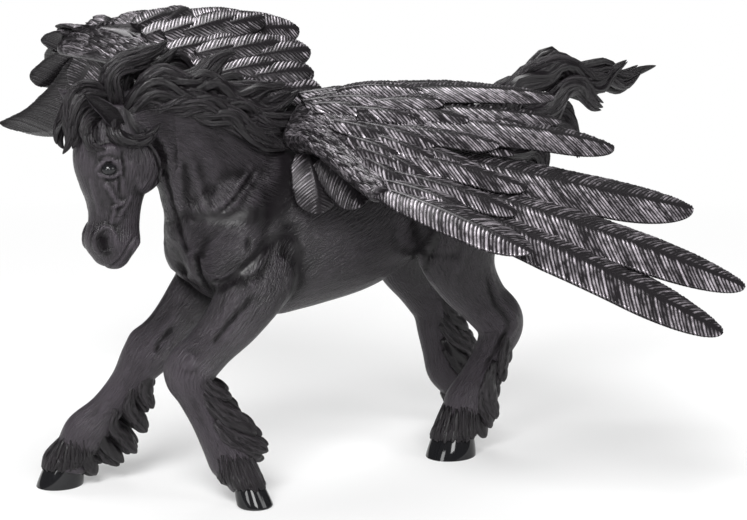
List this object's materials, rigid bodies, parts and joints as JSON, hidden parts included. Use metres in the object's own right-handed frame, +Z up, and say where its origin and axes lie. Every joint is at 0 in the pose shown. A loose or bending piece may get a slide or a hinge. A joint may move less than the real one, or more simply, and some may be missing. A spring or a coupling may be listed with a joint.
{
  "type": "pegasus figurine",
  "caption": "Figurine of a striding winged horse with spread feathered wings, an arched neck, a flying mane and tail, and long hair on its lower legs.",
  "frame": {"origin": "middle of the part's bounding box, on the ground under the hooves", "axes": "+Z up; the horse faces -X, and its left side looks along -Y"},
  "size_m": [0.1954, 0.2166, 0.1213],
  "materials": {
    "horse": "satin near-black, solid moulding",
    "wing": "near-black with dry-brushed metallic grey ridges"
  },
  "bodies": {
    "root": {"horse_body": "horse", "left_wing": "wing", "right_wing": "wing"}
  },
  "joints": []
}
